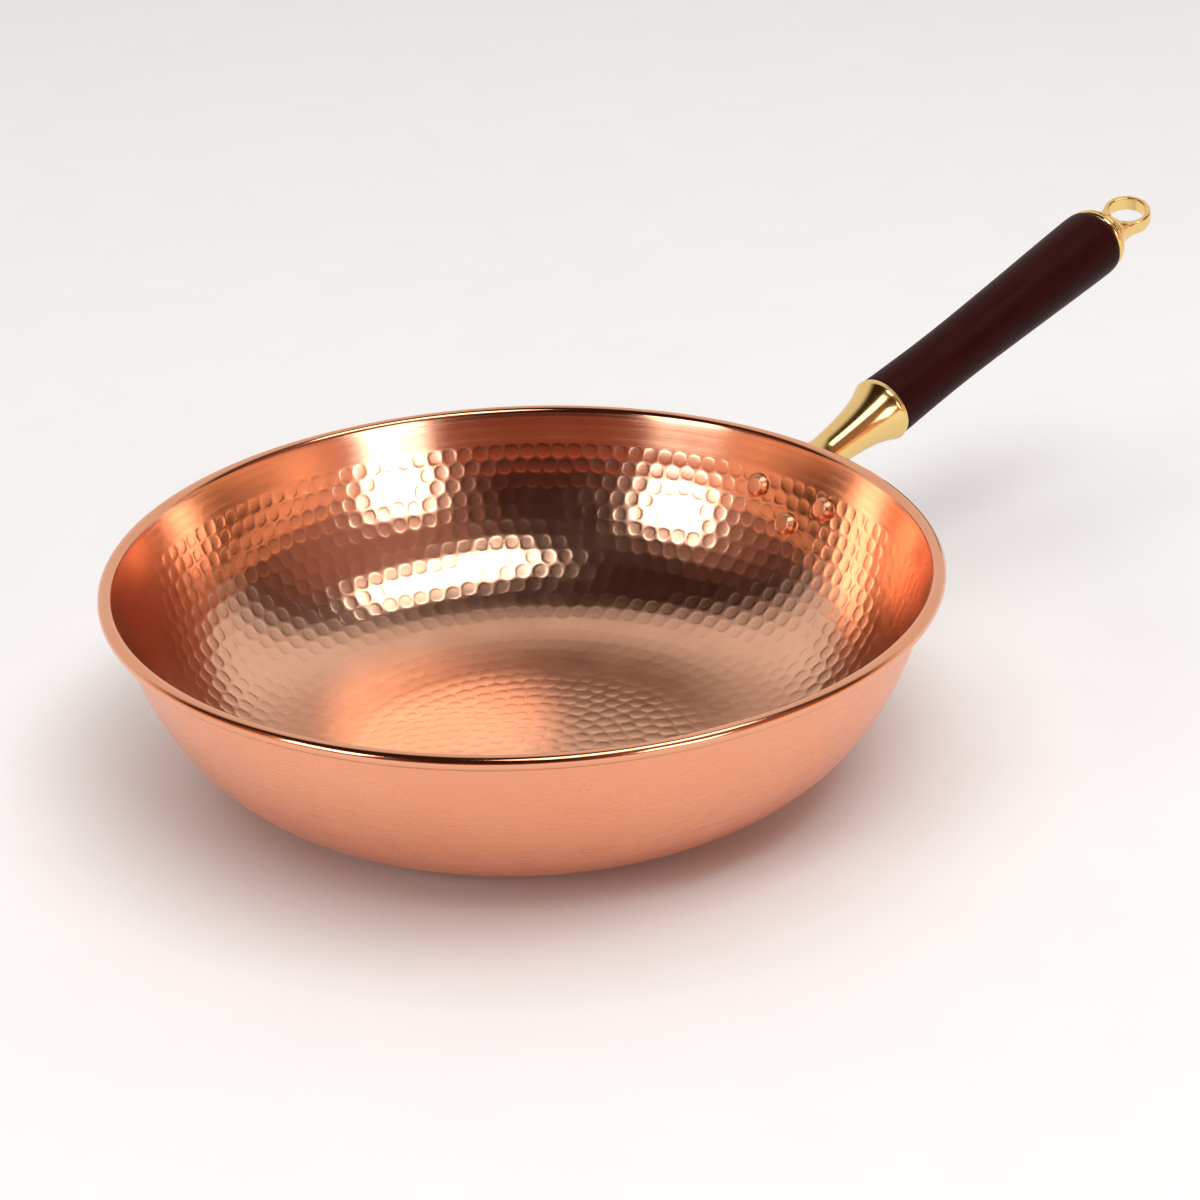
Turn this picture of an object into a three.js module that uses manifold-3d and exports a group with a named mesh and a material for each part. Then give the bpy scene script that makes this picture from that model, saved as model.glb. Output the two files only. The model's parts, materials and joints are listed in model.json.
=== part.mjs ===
import * as THREE from "three";
import { mergeVertices } from "three/addons/utils/BufferGeometryUtils.js";
import Module from "manifold-3d";

// A copper wok with a rolled rim and a long straight handle: a cast brass bracket riveted to the wall,
// a turned hardwood grip, and a brass cap with a hanging eye, drawn together by a rod through the grip.
// Millimetres and degrees. +Z is up, the origin is the middle of the flat base, the handle runs along +X.

// Bowl
const rimRadius = 160; // outside of the rolled rim
const rimHeight = 81.8; // top of the rim above the table
const sheet = 1.5; // copper sheet
const baseRadius = 72; // flat part of the base
const baseEase = 66.8; // how far the base's level run pulls on the curve of the wall
const rimEase = 25.4; // how far the slope at the rim pulls on the curve of the wall
const rimSlope = 71.8; // slope of the wall at the rim, from level
const wireRadius = 1; // stiffening wire rolled into the rim
const curlMouth = 0.4; // slit between the end of the curl and the wall

// Clearances
const fit = 0.3; // between a round piece and its hole
const seat = 0.3; // between two faces that bear on each other

// Rivets, measured on the inside of the wall
const upperRivetDrop = 20.8; // upper pair, below the top of the rim
const lowerRivetDrop = 32.1; // lower one
const rivetSpread = 37; // between the upper pair
const shankRadius = 2.8;
const headRadius = 5; // head inside the bowl, a cone with a flat top
const headTopRadius = 3.5;
const headHeight = 2.8;
const headRim = 0.8; // upright edge of the head
const tailRadius = 5; // domed tail on the outside
const tailHeight = 2.6;

// Bracket: plate, neck and bell. Stations run along the handle's axis from the outside of the rim.
const handleRise = 15.5; // tilt of the handle above level
const handleDrop = 10.1; // handle's axis below the top of the rim, at the rim's outside
const plate = 4; // thickness of the plate
const plateMargin = 9; // plate's edge round each rivet
const rootRadius = 11.5; // foot of the neck, on the plate
const rootSink = 14; // foot's start, inside the rim's outline
const rootEase = 3.5; // end of the foot's full width, inside the rim's outline
const neckAt = 9; // slimmest point of the neck
const neckRadius = 7.7;
const flareAt = 27; // where the bell begins to open
const flareRadius = 8.7;
const bellSlope = 27; // slope of the bell at its shoulder
const bellEase = 7.4; // how far that slope pulls on the bell's curve
const shoulderAt = 42.4; // shoulder of the bell
const shoulderRadius = 13.9;
const shoulderRound = 1.2; // length that turns over the shoulder
const lipAt = 45.7; // end of the bell
const lipRadius = 13.6;
const lipLength = 0.9; // straight band behind the lip

// Grip
const gripLength = 141.7; // from the bell's lip to the collar
const gripWaist = 13; // slimmest radius
const gripWaistAt = 47; // from the bell
const gripSwell = 14.9; // fullest radius, near the end
const gripSwellBack = 17; // distance of the fullest point from the end
const gripShoulder = 15.1; // radius where the end begins to round
const gripEndRadius = 14;
const gripEndRound = 4.5; // length that rounds down to the end
const tenonRadius = 9.4; // spigot turned on the front end
const tenonLength = 10;

// Rod, collar and cap
const rodRadius = 3;
const rodInBracket = 24; // below the bell's socket
const rodInCap = 6.6;
const rodChamfer = 0.6;
const collarRadius = 14.3;
const collarLength = 3;
const capRadius = 13.5;
const capEdge = 0.8; // upright edge of the cap
const capWaist = 8.8; // half-width between the cap's foot and its eye
const capWaistAt = 9.5; // waist, from the cap's foot
const eyeAt = 20.1; // middle of the eye, from the cap's foot
const eyeRadius = 10.6;
const eyeHole = 8;
const eyeBand = 6.6; // height of the eye's band
const capTurn = 12; // how far round the cap is screwed, from an upright eye

// Number of flats round each turned piece and along each curve
const bowlSides = 64;
const handleSides = 32;
const rivetSides = 16;
const boreSides = 24;
const wallSteps = 10;
const curlSteps = 9;
const curveSteps = 5;
const domeSteps = 4;
const collarSteps = 3;

const copper = new THREE.MeshStandardMaterial({ color: 0xd98b67, metalness: 1, roughness: 0.22 });
const rivetCopper = new THREE.MeshStandardMaterial({ color: 0xe0865a, metalness: 1, roughness: 0.18 });
const brass = new THREE.MeshStandardMaterial({ color: 0xd8ab52, metalness: 1, roughness: 0.12 });
const hardwood = new THREE.MeshStandardMaterial({ color: 0x3a1718, metalness: 0, roughness: 0.4 });
const steel = new THREE.MeshStandardMaterial({ color: 0x9a9a98, metalness: 1, roughness: 0.3 });

const wasm = await Module();
wasm.setup();

// A closed body from a geometry, with shared points merged and the slivers on an axis left out.
function solid(geometry) {
  const bare = geometry.clone();
  bare.deleteAttribute("normal");
  bare.deleteAttribute("uv");
  const merged = mergeVertices(bare);
  const index = merged.index.array;
  const triangles = [];
  for (let i = 0; i < index.length; i += 3) {
    const corners = index.slice(i, i + 3);
    if (new Set(corners).size === 3) triangles.push(...corners);
  }
  return new wasm.Manifold(new wasm.Mesh({
    numProp: 3,
    vertProperties: merged.attributes.position.array,
    triVerts: new Uint32Array(triangles),
  }));
}

function piece(name, body, finish) {
  const { vertProperties, triVerts } = body.getMesh();
  const geometry = new THREE.BufferGeometry();
  geometry.setAttribute("position", new THREE.BufferAttribute(vertProperties, 3));
  geometry.setIndex(new THREE.BufferAttribute(triVerts, 1));
  geometry.computeVertexNormals();
  const mesh = new THREE.Mesh(geometry, finish);
  mesh.name = name;
  return mesh;
}

const radians = THREE.MathUtils.degToRad;
const flat = (radius, along) => new THREE.Vector2(radius, along);

// Turned about +Z, from a profile of radius and height that runs anticlockwise.
function turned(profile, sides) {
  return new THREE.LatheGeometry(profile, sides).rotateX(Math.PI / 2);
}

// Turned about the handle's axis, which is +X in the handle's own frame.
function turnedAlong(profile, sides) {
  return turned(profile, sides).rotateY(Math.PI / 2);
}

function closed(profile) {
  return [...profile, profile[0].clone()];
}

// A plain bore or shank along the handle's axis.
function roundBar(radius, from, to, sides) {
  return turnedAlong([flat(0, from), flat(radius, from), flat(radius, to), flat(0, to)], sides);
}

// The wall's outer face is one curve, level at the base and tangent to the inside of the rolled rim.
const curlRadius = wireRadius + fit;
const beadRadius = curlRadius + sheet;
const beadCentre = flat(rimRadius - beadRadius, rimHeight - beadRadius);
const slope = radians(rimSlope);
const wallTop = beadCentre.clone().add(flat(-Math.sin(slope), Math.cos(slope)).multiplyScalar(curlRadius));
const wallCurve = new THREE.CubicBezierCurve(
  flat(baseRadius, 0),
  flat(baseRadius + baseEase, 0),
  wallTop.clone().sub(flat(Math.cos(slope), Math.sin(slope)).multiplyScalar(rimEase)),
  wallTop,
);

// Outward normal of the wall, and the point that lies a distance out from its outer face.
function wallNormal(u) {
  const tangent = wallCurve.getTangent(u);
  return flat(tangent.y, -tangent.x);
}

function wallPoint(u, out) {
  return wallCurve.getPoint(u).add(wallNormal(u).multiplyScalar(out));
}

function wallLine(out) {
  return Array.from({ length: wallSteps + 1 }, (_, i) => wallPoint(i / wallSteps, out));
}

// Place on the wall whose inside lies a given drop below the top of the rim.
function wallAtDrop(drop) {
  let low = 0;
  let high = 1;
  for (let i = 0; i < 40; i += 1) {
    const middle = (low + high) / 2;
    if (wallPoint(middle, -sheet).y < rimHeight - drop) low = middle;
    else high = middle;
  }
  return low;
}

function arc(centre, radius, from, to, steps) {
  return Array.from({ length: steps + 1 }, (_, i) => {
    const angle = from + ((to - from) * i) / steps;
    return flat(centre.x + radius * Math.cos(angle), centre.y + radius * Math.sin(angle));
  });
}

// The curl leaves the wall at the top, runs over the wire and stops a slit short of the wall again.
const curlStart = Math.PI / 2 + slope;
const curlSweep = 2 * Math.PI - Math.acos((curlRadius - curlMouth) / beadRadius);
const curlEnd = curlStart - curlSweep;

function bowlBody() {
  const profile = [
    flat(0, 0),
    ...wallLine(0),
    ...arc(beadCentre, curlRadius, curlStart, curlEnd, curlSteps).slice(1),
    ...arc(beadCentre, beadRadius, curlEnd, curlStart, curlSteps),
    ...wallLine(-sheet).reverse().slice(1),
    flat(0, sheet),
  ];
  return solid(turned(profile, bowlSides));
}

// Rivets stand square to the wall. Their own axis starts on the inside face and runs outwards.
const outerFace = sheet + seat + plate;
const upperU = wallAtDrop(upperRivetDrop);
const lowerU = wallAtDrop(lowerRivetDrop);
const upperTurn = Math.asin(rivetSpread / 2 / wallPoint(upperU, -sheet).x);
const rivetPlaces = [
  { name: "rivet_upper_left", u: upperU, turn: upperTurn },
  { name: "rivet_upper_right", u: upperU, turn: -upperTurn },
  { name: "rivet_lower", u: lowerU, turn: 0 },
];

function rivetMatrix({ u, turn }) {
  const normal = wallNormal(u);
  const foot = wallPoint(u, -sheet);
  const tilt = new THREE.Matrix4().makeRotationY(Math.atan2(normal.x, normal.y));
  const place = new THREE.Matrix4().makeTranslation(foot.x, 0, foot.y);
  return new THREE.Matrix4().makeRotationZ(turn).multiply(place).multiply(tilt);
}

// A ring of the wall's own shape, between two distances from its outer face.
function wallShell(inner, outer) {
  return solid(turned(closed([...wallLine(outer), ...wallLine(inner).reverse()]), bowlSides));
}

// The head is trimmed to lie on the curve of the wall.
function rivetBody(place) {
  const tailSeat = outerFace + seat;
  const domeRadius = (tailRadius ** 2 + tailHeight ** 2) / (2 * tailHeight);
  const domeCentre = flat(0, tailSeat + tailHeight - domeRadius);
  const domeStart = Math.asin((tailSeat - domeCentre.y) / domeRadius);
  const headSide = -seat - headRim;
  const head = [
    flat(0, -seat - headHeight),
    flat(headTopRadius, -seat - headHeight),
    flat(headRadius, headSide),
    flat(headRadius, sheet / 2),
    flat(0, sheet / 2),
  ];
  const stem = [
    flat(0, headSide),
    flat(shankRadius, headSide),
    flat(shankRadius, tailSeat),
    ...arc(domeCentre, domeRadius, domeStart, Math.PI / 2, domeSteps).slice(0, -1),
    flat(0, tailSeat + tailHeight),
  ];
  const [headSolid, stemSolid] = [head, stem].map((profile) => {
    return solid(turned(profile, rivetSides).applyMatrix4(rivetMatrix(place)));
  });
  return headSolid.subtract(wallShell(-sheet - seat, 0)).add(stemSolid);
}

function rivetHole(place) {
  const radius = shankRadius + fit;
  const ends = [-headHeight, outerFace + tailHeight];
  const profile = [flat(0, ends[0]), flat(radius, ends[0]), flat(radius, ends[1]), flat(0, ends[1])];
  return solid(turned(profile, rivetSides).applyMatrix4(rivetMatrix(place)));
}

const rivetHoles = rivetPlaces.map(rivetHole).reduce((all, one) => all.add(one));

// Frame of the handle: +X runs out along its axis, +Z is the axis of the hanging eye.
const handleMatrix = new THREE.Matrix4()
  .makeTranslation(rimRadius, 0, rimHeight - handleDrop)
  .multiply(new THREE.Matrix4().makeRotationY(-radians(handleRise)));
const onHandle = (geometry) => solid(geometry.applyMatrix4(handleMatrix));

// Stations along the handle that follow from the driving sizes.
const gripStart = lipAt + seat;
const gripEnd = lipAt + gripLength;
const tenonEnd = gripStart - tenonLength;
const socketEnd = tenonEnd - seat;
const rodStart = socketEnd - rodInBracket;
const collarStart = gripEnd + seat;
const capFoot = collarStart + collarLength + seat;
const rodEnd = capFoot + rodInCap;

// Plate: a shell that lies on the wall, trimmed to a triangle with round corners about the rivets.
function plateBody() {
  const [left, right, lower] = rivetPlaces.map((place) => {
    const middle = new THREE.Vector3(0, 0, outerFace - plate / 2).applyMatrix4(rivetMatrix(place));
    return flat(middle.y, middle.z);
  });
  const loop = [lower, left, right];
  const outline = new THREE.Shape();
  loop.forEach((corner, i) => {
    const edgeIn = corner.clone().sub(loop[(i + 2) % 3]).angle();
    const edgeOut = loop[(i + 1) % 3].clone().sub(corner).angle();
    const square = Math.PI / 2;
    outline.absarc(corner.x, corner.y, plateMargin, edgeIn - square, edgeOut - square, false);
  });
  const settings = { depth: rimRadius, bevelEnabled: false, curveSegments: curveSteps };
  const across = new THREE.Matrix4().makeBasis(
    new THREE.Vector3(0, 1, 0),
    new THREE.Vector3(0, 0, 1),
    new THREE.Vector3(1, 0, 0),
  );
  const prism = new THREE.ExtrudeGeometry(outline, settings).applyMatrix4(across).translate(baseRadius, 0, 0);
  return wallShell(seat, seat + plate).intersect(solid(prism));
}

// Neck and bell: a foot that narrows to the neck, then a trumpet to the shoulder and a straight band to the lip.
function neckBody() {
  const flare = radians(bellSlope);
  const path = new THREE.Path();
  path.moveTo(0, -rootSink);
  path.lineTo(rootRadius, -rootSink);
  path.bezierCurveTo(rootRadius, -rootEase, neckRadius, 0, neckRadius, neckAt);
  path.bezierCurveTo(
    flareRadius,
    flareAt,
    shoulderRadius - bellEase * Math.sin(flare),
    shoulderAt - bellEase * Math.cos(flare),
    shoulderRadius,
    shoulderAt,
  );
  path.quadraticCurveTo(
    shoulderRadius + shoulderRound * Math.tan(flare),
    shoulderAt + shoulderRound,
    lipRadius,
    lipAt - lipLength,
  );
  path.lineTo(lipRadius, lipAt);
  path.lineTo(0, lipAt);
  return onHandle(turnedAlong(path.getPoints(curveSteps), handleSides));
}

// The bracket is one casting: plate, neck and bell, cleared of the bowl's wall and of its rolled rim.
function bracketBody() {
  const insideWall = turned([flat(0, -seat), ...wallLine(seat), flat(0, wallTop.y)], bowlSides);
  const bead = new THREE.TorusGeometry(beadCentre.x, beadRadius + seat, 2 * curlSteps, bowlSides);
  bead.translate(0, 0, beadCentre.y);
  const overRim = [
    flat(0, beadCentre.y),
    flat(rimRadius + seat, beadCentre.y),
    flat(rimRadius + seat, rimHeight + rootRadius),
    flat(0, rimHeight + rootRadius),
  ];
  const socket = roundBar(tenonRadius + fit, socketEnd, lipAt + lipLength, handleSides);
  const rodHole = roundBar(rodRadius + fit, rodStart - seat, lipAt, boreSides);
  return plateBody()
    .add(neckBody())
    .subtract(solid(insideWall))
    .subtract(solid(bead))
    .subtract(solid(turned(overRim, bowlSides)))
    .subtract(rivetHoles)
    .subtract(onHandle(socket))
    .subtract(onHandle(rodHole));
}

// Grip: a spigot for the bell, then a slim waist that swells towards the end and rounds off at the collar.
function gripBody() {
  const bore = rodRadius + fit;
  const path = new THREE.Path();
  path.moveTo(bore, tenonEnd);
  path.lineTo(tenonRadius, tenonEnd);
  path.lineTo(tenonRadius, gripStart);
  path.lineTo(lipRadius, gripStart);
  path.splineThru([
    flat(gripWaist, gripStart + gripWaistAt),
    flat(gripSwell, gripEnd - gripSwellBack),
    flat(gripShoulder, gripEnd - gripEndRound),
  ]);
  path.quadraticCurveTo(gripShoulder, gripEnd, gripEndRadius, gripEnd);
  path.lineTo(bore, gripEnd);
  return solid(turnedAlong(closed(path.getPoints(curveSteps)), handleSides));
}

function rodBody() {
  const profile = [
    flat(0, rodStart),
    flat(rodRadius - rodChamfer, rodStart),
    flat(rodRadius, rodStart + rodChamfer),
    flat(rodRadius, rodEnd - rodChamfer),
    flat(rodRadius - rodChamfer, rodEnd),
    flat(0, rodEnd),
  ];
  return solid(turnedAlong(profile, boreSides));
}

// Collar: a ring with a half-round edge, trapped between the grip and the cap.
function collarBody() {
  const edge = collarLength / 2;
  const bore = rodRadius + fit;
  const path = new THREE.Path();
  path.moveTo(bore, collarStart);
  path.absarc(collarRadius - edge, collarStart + edge, edge, -Math.PI / 2, Math.PI / 2, false);
  path.lineTo(bore, collarStart + collarLength);
  return solid(turnedAlong(closed(path.getPoints(collarSteps)), handleSides));
}

// Cap: round at its foot, drawn in to a waist that spreads into the eye, and flattened to the eye's band.
function capBody() {
  const eyeCentre = capFoot + eyeAt;
  const join = 0.75 * Math.acos(capWaist / eyeRadius);
  const joinRadius = eyeRadius * Math.cos(join);
  const joinAt = eyeCentre - eyeRadius * Math.sin(join);
  const plan = new THREE.Path();
  plan.moveTo(0, capFoot);
  plan.lineTo(capRadius, capFoot);
  plan.lineTo(capRadius, capFoot + capEdge);
  plan.quadraticCurveTo(capWaist, capFoot + capWaistAt / 2, capWaist, capFoot + capWaistAt);
  plan.quadraticCurveTo(capWaist, joinAt - (joinRadius - capWaist) / Math.tan(join), joinRadius, joinAt);
  plan.absarc(0, eyeCentre, eyeRadius, -join, Math.PI / 2, false);
  const round = solid(turnedAlong(plan.getPoints(curveSteps), handleSides));

  const band = eyeBand / 2;
  const bandAt = eyeCentre - eyeHole;
  const tall = capRadius + capEdge;
  const end = eyeCentre + eyeRadius + capEdge;
  const side = new THREE.Shape();
  side.moveTo(capFoot - capEdge, -tall);
  side.lineTo(capFoot + capEdge, -tall);
  side.bezierCurveTo(capFoot + capWaistAt / 2, -capWaist, bandAt - band / 2, -band - band / 2, bandAt, -band);
  side.lineTo(end, -band);
  side.lineTo(end, band);
  side.lineTo(bandAt, band);
  side.bezierCurveTo(bandAt - band / 2, band + band / 2, capFoot + capWaistAt / 2, capWaist, capFoot + capEdge, tall);
  side.lineTo(capFoot - capEdge, tall);
  const settings = { depth: 2 * tall, bevelEnabled: false, curveSegments: curveSteps };
  const flattened = new THREE.ExtrudeGeometry(side, settings).rotateX(Math.PI / 2).translate(0, tall, 0);

  const hole = new THREE.CylinderGeometry(eyeHole, eyeHole, 2 * tall, handleSides);
  hole.rotateX(Math.PI / 2).translate(eyeCentre, 0, 0);
  const rodHole = roundBar(rodRadius + fit, capFoot - capEdge, rodEnd + seat, boreSides);
  return round.intersect(solid(flattened)).subtract(solid(hole)).subtract(solid(rodHole));
}

const wok = new THREE.Group();
wok.add(piece("bowl", bowlBody().subtract(rivetHoles), copper));

const wire = new THREE.TorusGeometry(beadCentre.x, wireRadius, 8, bowlSides);
const rimWire = piece("rim_wire", solid(wire), steel);
rimWire.position.z = beadCentre.y;
wok.add(rimWire);

wok.add(piece("handle_bracket", bracketBody(), brass));
for (const place of rivetPlaces) {
  wok.add(piece(place.name, rivetBody(place), rivetCopper));
}

const handle = new THREE.Group();
handle.applyMatrix4(handleMatrix);
handle.add(piece("grip", gripBody(), hardwood));
handle.add(piece("tie_rod", rodBody(), steel));
handle.add(piece("end_collar", collarBody(), brass));
const endCap = piece("end_cap", capBody(), brass);
endCap.rotation.x = radians(capTurn);
handle.add(endCap);
wok.add(handle);

export default wok;
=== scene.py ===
import json
import math

import bmesh
import bpy
import numpy as np
from mathutils import Matrix


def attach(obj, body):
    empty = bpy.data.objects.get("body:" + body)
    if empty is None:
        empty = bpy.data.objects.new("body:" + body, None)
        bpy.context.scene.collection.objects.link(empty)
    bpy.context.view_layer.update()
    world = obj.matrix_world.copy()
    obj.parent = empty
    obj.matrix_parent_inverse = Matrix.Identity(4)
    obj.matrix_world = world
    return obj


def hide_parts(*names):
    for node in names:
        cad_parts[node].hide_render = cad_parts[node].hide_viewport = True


# A hammered copper wok with a brass bracket, a turned hardwood grip and a brass cap with a hanging eye.
# Sizes are millimetres and degrees, as in the part's source. Meshes are turned to metres as they are made.
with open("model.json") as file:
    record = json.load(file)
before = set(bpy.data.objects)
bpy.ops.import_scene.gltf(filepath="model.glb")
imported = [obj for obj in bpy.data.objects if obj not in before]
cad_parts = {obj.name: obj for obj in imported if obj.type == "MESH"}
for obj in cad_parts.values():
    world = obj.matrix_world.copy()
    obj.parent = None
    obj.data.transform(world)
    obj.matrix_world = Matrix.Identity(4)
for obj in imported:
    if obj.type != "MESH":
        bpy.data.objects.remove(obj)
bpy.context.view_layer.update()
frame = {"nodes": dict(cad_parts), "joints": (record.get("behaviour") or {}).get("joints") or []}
MM = 0.001
TINY = 1e-6  # keeps a division at the very middle of the bowl from failing

# Bowl
RIM_RADIUS = 160
RIM_HEIGHT = 81.8
SHEET = 1.5
BASE_RADIUS = 72
BASE_EASE = 66.8
RIM_EASE = 25.4
RIM_SLOPE = math.radians(71.8)
WIRE_RADIUS = 1
CURL_MOUTH = 0.4
FIT = 0.3
SEAT = 0.3
BASE_RING = 4  # inside the base's edge, where the outside's last ring of points lies
WALL_STEPS = 800  # along the wall's curve
FLOOR_STEPS = 120  # from the middle of the floor to the wall
BAND_RINGS = 7  # rings of points up the smooth band
OUTSIDE_RINGS = 30  # and down the outside
BOWL_WELD = 0.03  # points of neighbouring marks that are closer than this are one
HAMMERED, BRUSHED, BURNISHED, SPUN = range(4)  # the bowl's finishes, in the order it holds them

# Hammer marks on the inside
HAMMERED_TOP = 67.7  # height of the first row's upper edge; the wall above it is left smooth
BAND_GAP = 0.8  # from that edge up to the smooth band's first ring of points
TOP_MARK = 6.6  # between marks in the first row
FLOOR_MARK = 7.0  # between marks on the floor and up to the foot of the wall
MARKS_SHRINK_FROM = 114  # distance from the middle where the marks begin to get smaller
ROW_STEP = 0.96  # between rows, as a share of the distance between marks
MARK_SCATTER = 0.07  # how far a mark strays from its even place, as a share of the distance between marks
MARK_RISE = 0.024  # height of a mark's middle over the line round it, as a share of its radius
MARK_EDGE_TILT = math.radians(4.2)  # steepest part of a mark, just inside its edge
# Circles of points across a mark: shares of its radius, of its rise and of its steepest tilt
MARK_RINGS = ((0.55, 0.88, 0.32), (0.87, 0.3, 1.0), (1.0, 0.0, 0.3))
MARK_SQUARENESS = 0.2  # how far a mark follows the line round it, from a plain circle
# Strength of the marks by distance from the middle: they are shallower where the floor
# turns up into the wall
MARK_STRENGTH_AT = (58, 74, 99, 117)
MARK_STRENGTH = (2.0, 0.4, 0.28, 0.95)
HAMMER_SEED = 7
TOP_ROW_INSET = 0.52  # from the upper edge to the first row's middles, as a share of a mark
EVENING_ROUNDS = 2  # how often the marks are drawn towards the middles of their own patches
EVENING_SHARE = 0.5  # how far each time
NEIGHBOURS = 14  # nearest marks that can bound a mark's patch
SHORTEST_SIDE = 1e-3  # a shorter side of a patch has no clear direction and is passed over
EDGE_DEPTH = 0.3  # how near the upper edge a point counts as on it, as a share of a mark

# Rivets
UPPER_RIVET_DROP = 20.8
LOWER_RIVET_DROP = 32.1
RIVET_SPREAD = 37
SHANK_RADIUS = 2.8
HEAD_RADIUS = 5
HEAD_TOP_RADIUS = 3.5
HEAD_HEIGHT = 2.8
HEAD_RIM = 0.8
HEAD_EASE = 0.5
TAIL_RADIUS = 5
TAIL_HEIGHT = 2.6

# Bracket
PLATE = 4
PLATE_MARGIN = 9
PLATE_EASE = 1.4
PLATE_POINTS = 120
ROOT_RADIUS = 11.5
ROOT_SINK = 14
ROOT_EASE = 3.5
NECK_AT = 9
NECK_RADIUS = 7.7
FLARE_AT = 27
FLARE_RADIUS = 8.7
BELL_SLOPE = math.radians(27)
BELL_EASE = 7.4
SHOULDER_AT = 42.4
SHOULDER_RADIUS = 13.9
SHOULDER_ROUND = 1.2
LIP_AT = 45.7
LIP_RADIUS = 13.6
LIP_LENGTH = 0.9
LIP_EASE = 0.45
SOCKET_EASE = 0.3
ROOM_SKIP = 20  # every so many points of the wall's curve do for the cut that clears the bowl

# Grip
GRIP_LENGTH = 141.7
GRIP_WAIST = 13
GRIP_WAIST_AT = 47
GRIP_SWELL = 14.9
GRIP_SWELL_BACK = 17
GRIP_SHOULDER = 15.1
GRIP_END_RADIUS = 14
GRIP_END_ROUND = 4.5
TENON_RADIUS = 9.4
TENON_LENGTH = 10
TENON_EASE = 0.5

# Rod, collar and cap
ROD_RADIUS = 3
ROD_IN_BRACKET = 24
ROD_IN_CAP = 6.6
THREAD_PITCH = 1
THREAD_DEPTH = 0.54
THREAD_LENGTH = 20
THREAD_STEPS = 8  # along one turn
THREAD_FLANK = 1.6  # steepness of the thread's sides
THREAD_CREST = 0.3  # share of the flank that its flat crest cuts off
ROD_CHAMFER = 0.6
COLLAR_RADIUS = 14.3
COLLAR_LENGTH = 3
CAP_RADIUS = 13.5
CAP_EDGE = 0.8
CAP_WAIST = 8.8
CAP_WAIST_AT = 9.5
EYE_AT = 20.1
EYE_RADIUS = 10.6
EYE_HOLE = 8
EYE_BAND = 6.6
EYE_JOIN = 0.75  # where the waist's curve meets the eye, as a share of the turn to the waist's own width
CAST_GRID = 0.38  # of the casting's points, before its edges are softened
CAST_SOFTENING = 0.5
CAST_ROUNDS = 9
CAP_TURN = math.radians(12)

# Stations along the handle, from the outside of the rim
GRIP_START = LIP_AT + SEAT
GRIP_END = LIP_AT + GRIP_LENGTH
TENON_END = GRIP_START - TENON_LENGTH
SOCKET_END = TENON_END - SEAT
ROD_START = SOCKET_END - ROD_IN_BRACKET
COLLAR_START = GRIP_END + SEAT
CAP_FOOT = COLLAR_START + COLLAR_LENGTH + SEAT
ROD_END = CAP_FOOT + ROD_IN_CAP


def linear(code):
    """Linear colour from an sRGB hex value."""
    channels = [int(code[i:i + 2], 16) / 255 for i in (1, 3, 5)]
    return tuple(c / 12.92 if c <= 0.04045 else ((c + 0.055) / 1.055) ** 2.4 for c in channels) + (1.0,)


def add_node(tree, kind, values=None, links=None, **settings):
    """Adds a node: settings go to the node itself, values and links to its sockets."""
    made = tree.nodes.new(kind)
    for name, setting in settings.items():
        setattr(made, name, setting)
    for name, value in (values or {}).items():
        made.inputs[name].default_value = value
    for name, source in (links or {}).items():
        tree.links.new(source, made.inputs[name])
    return made


def new_material(name):
    material = bpy.data.materials.new(name)
    material.use_nodes = True
    material.node_tree.nodes.clear()
    return material, material.node_tree


def per_mm(size):
    """Texture scale at which one cell of a pattern is this many millimetres."""
    return 1 / (size * MM)


# Materials


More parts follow.
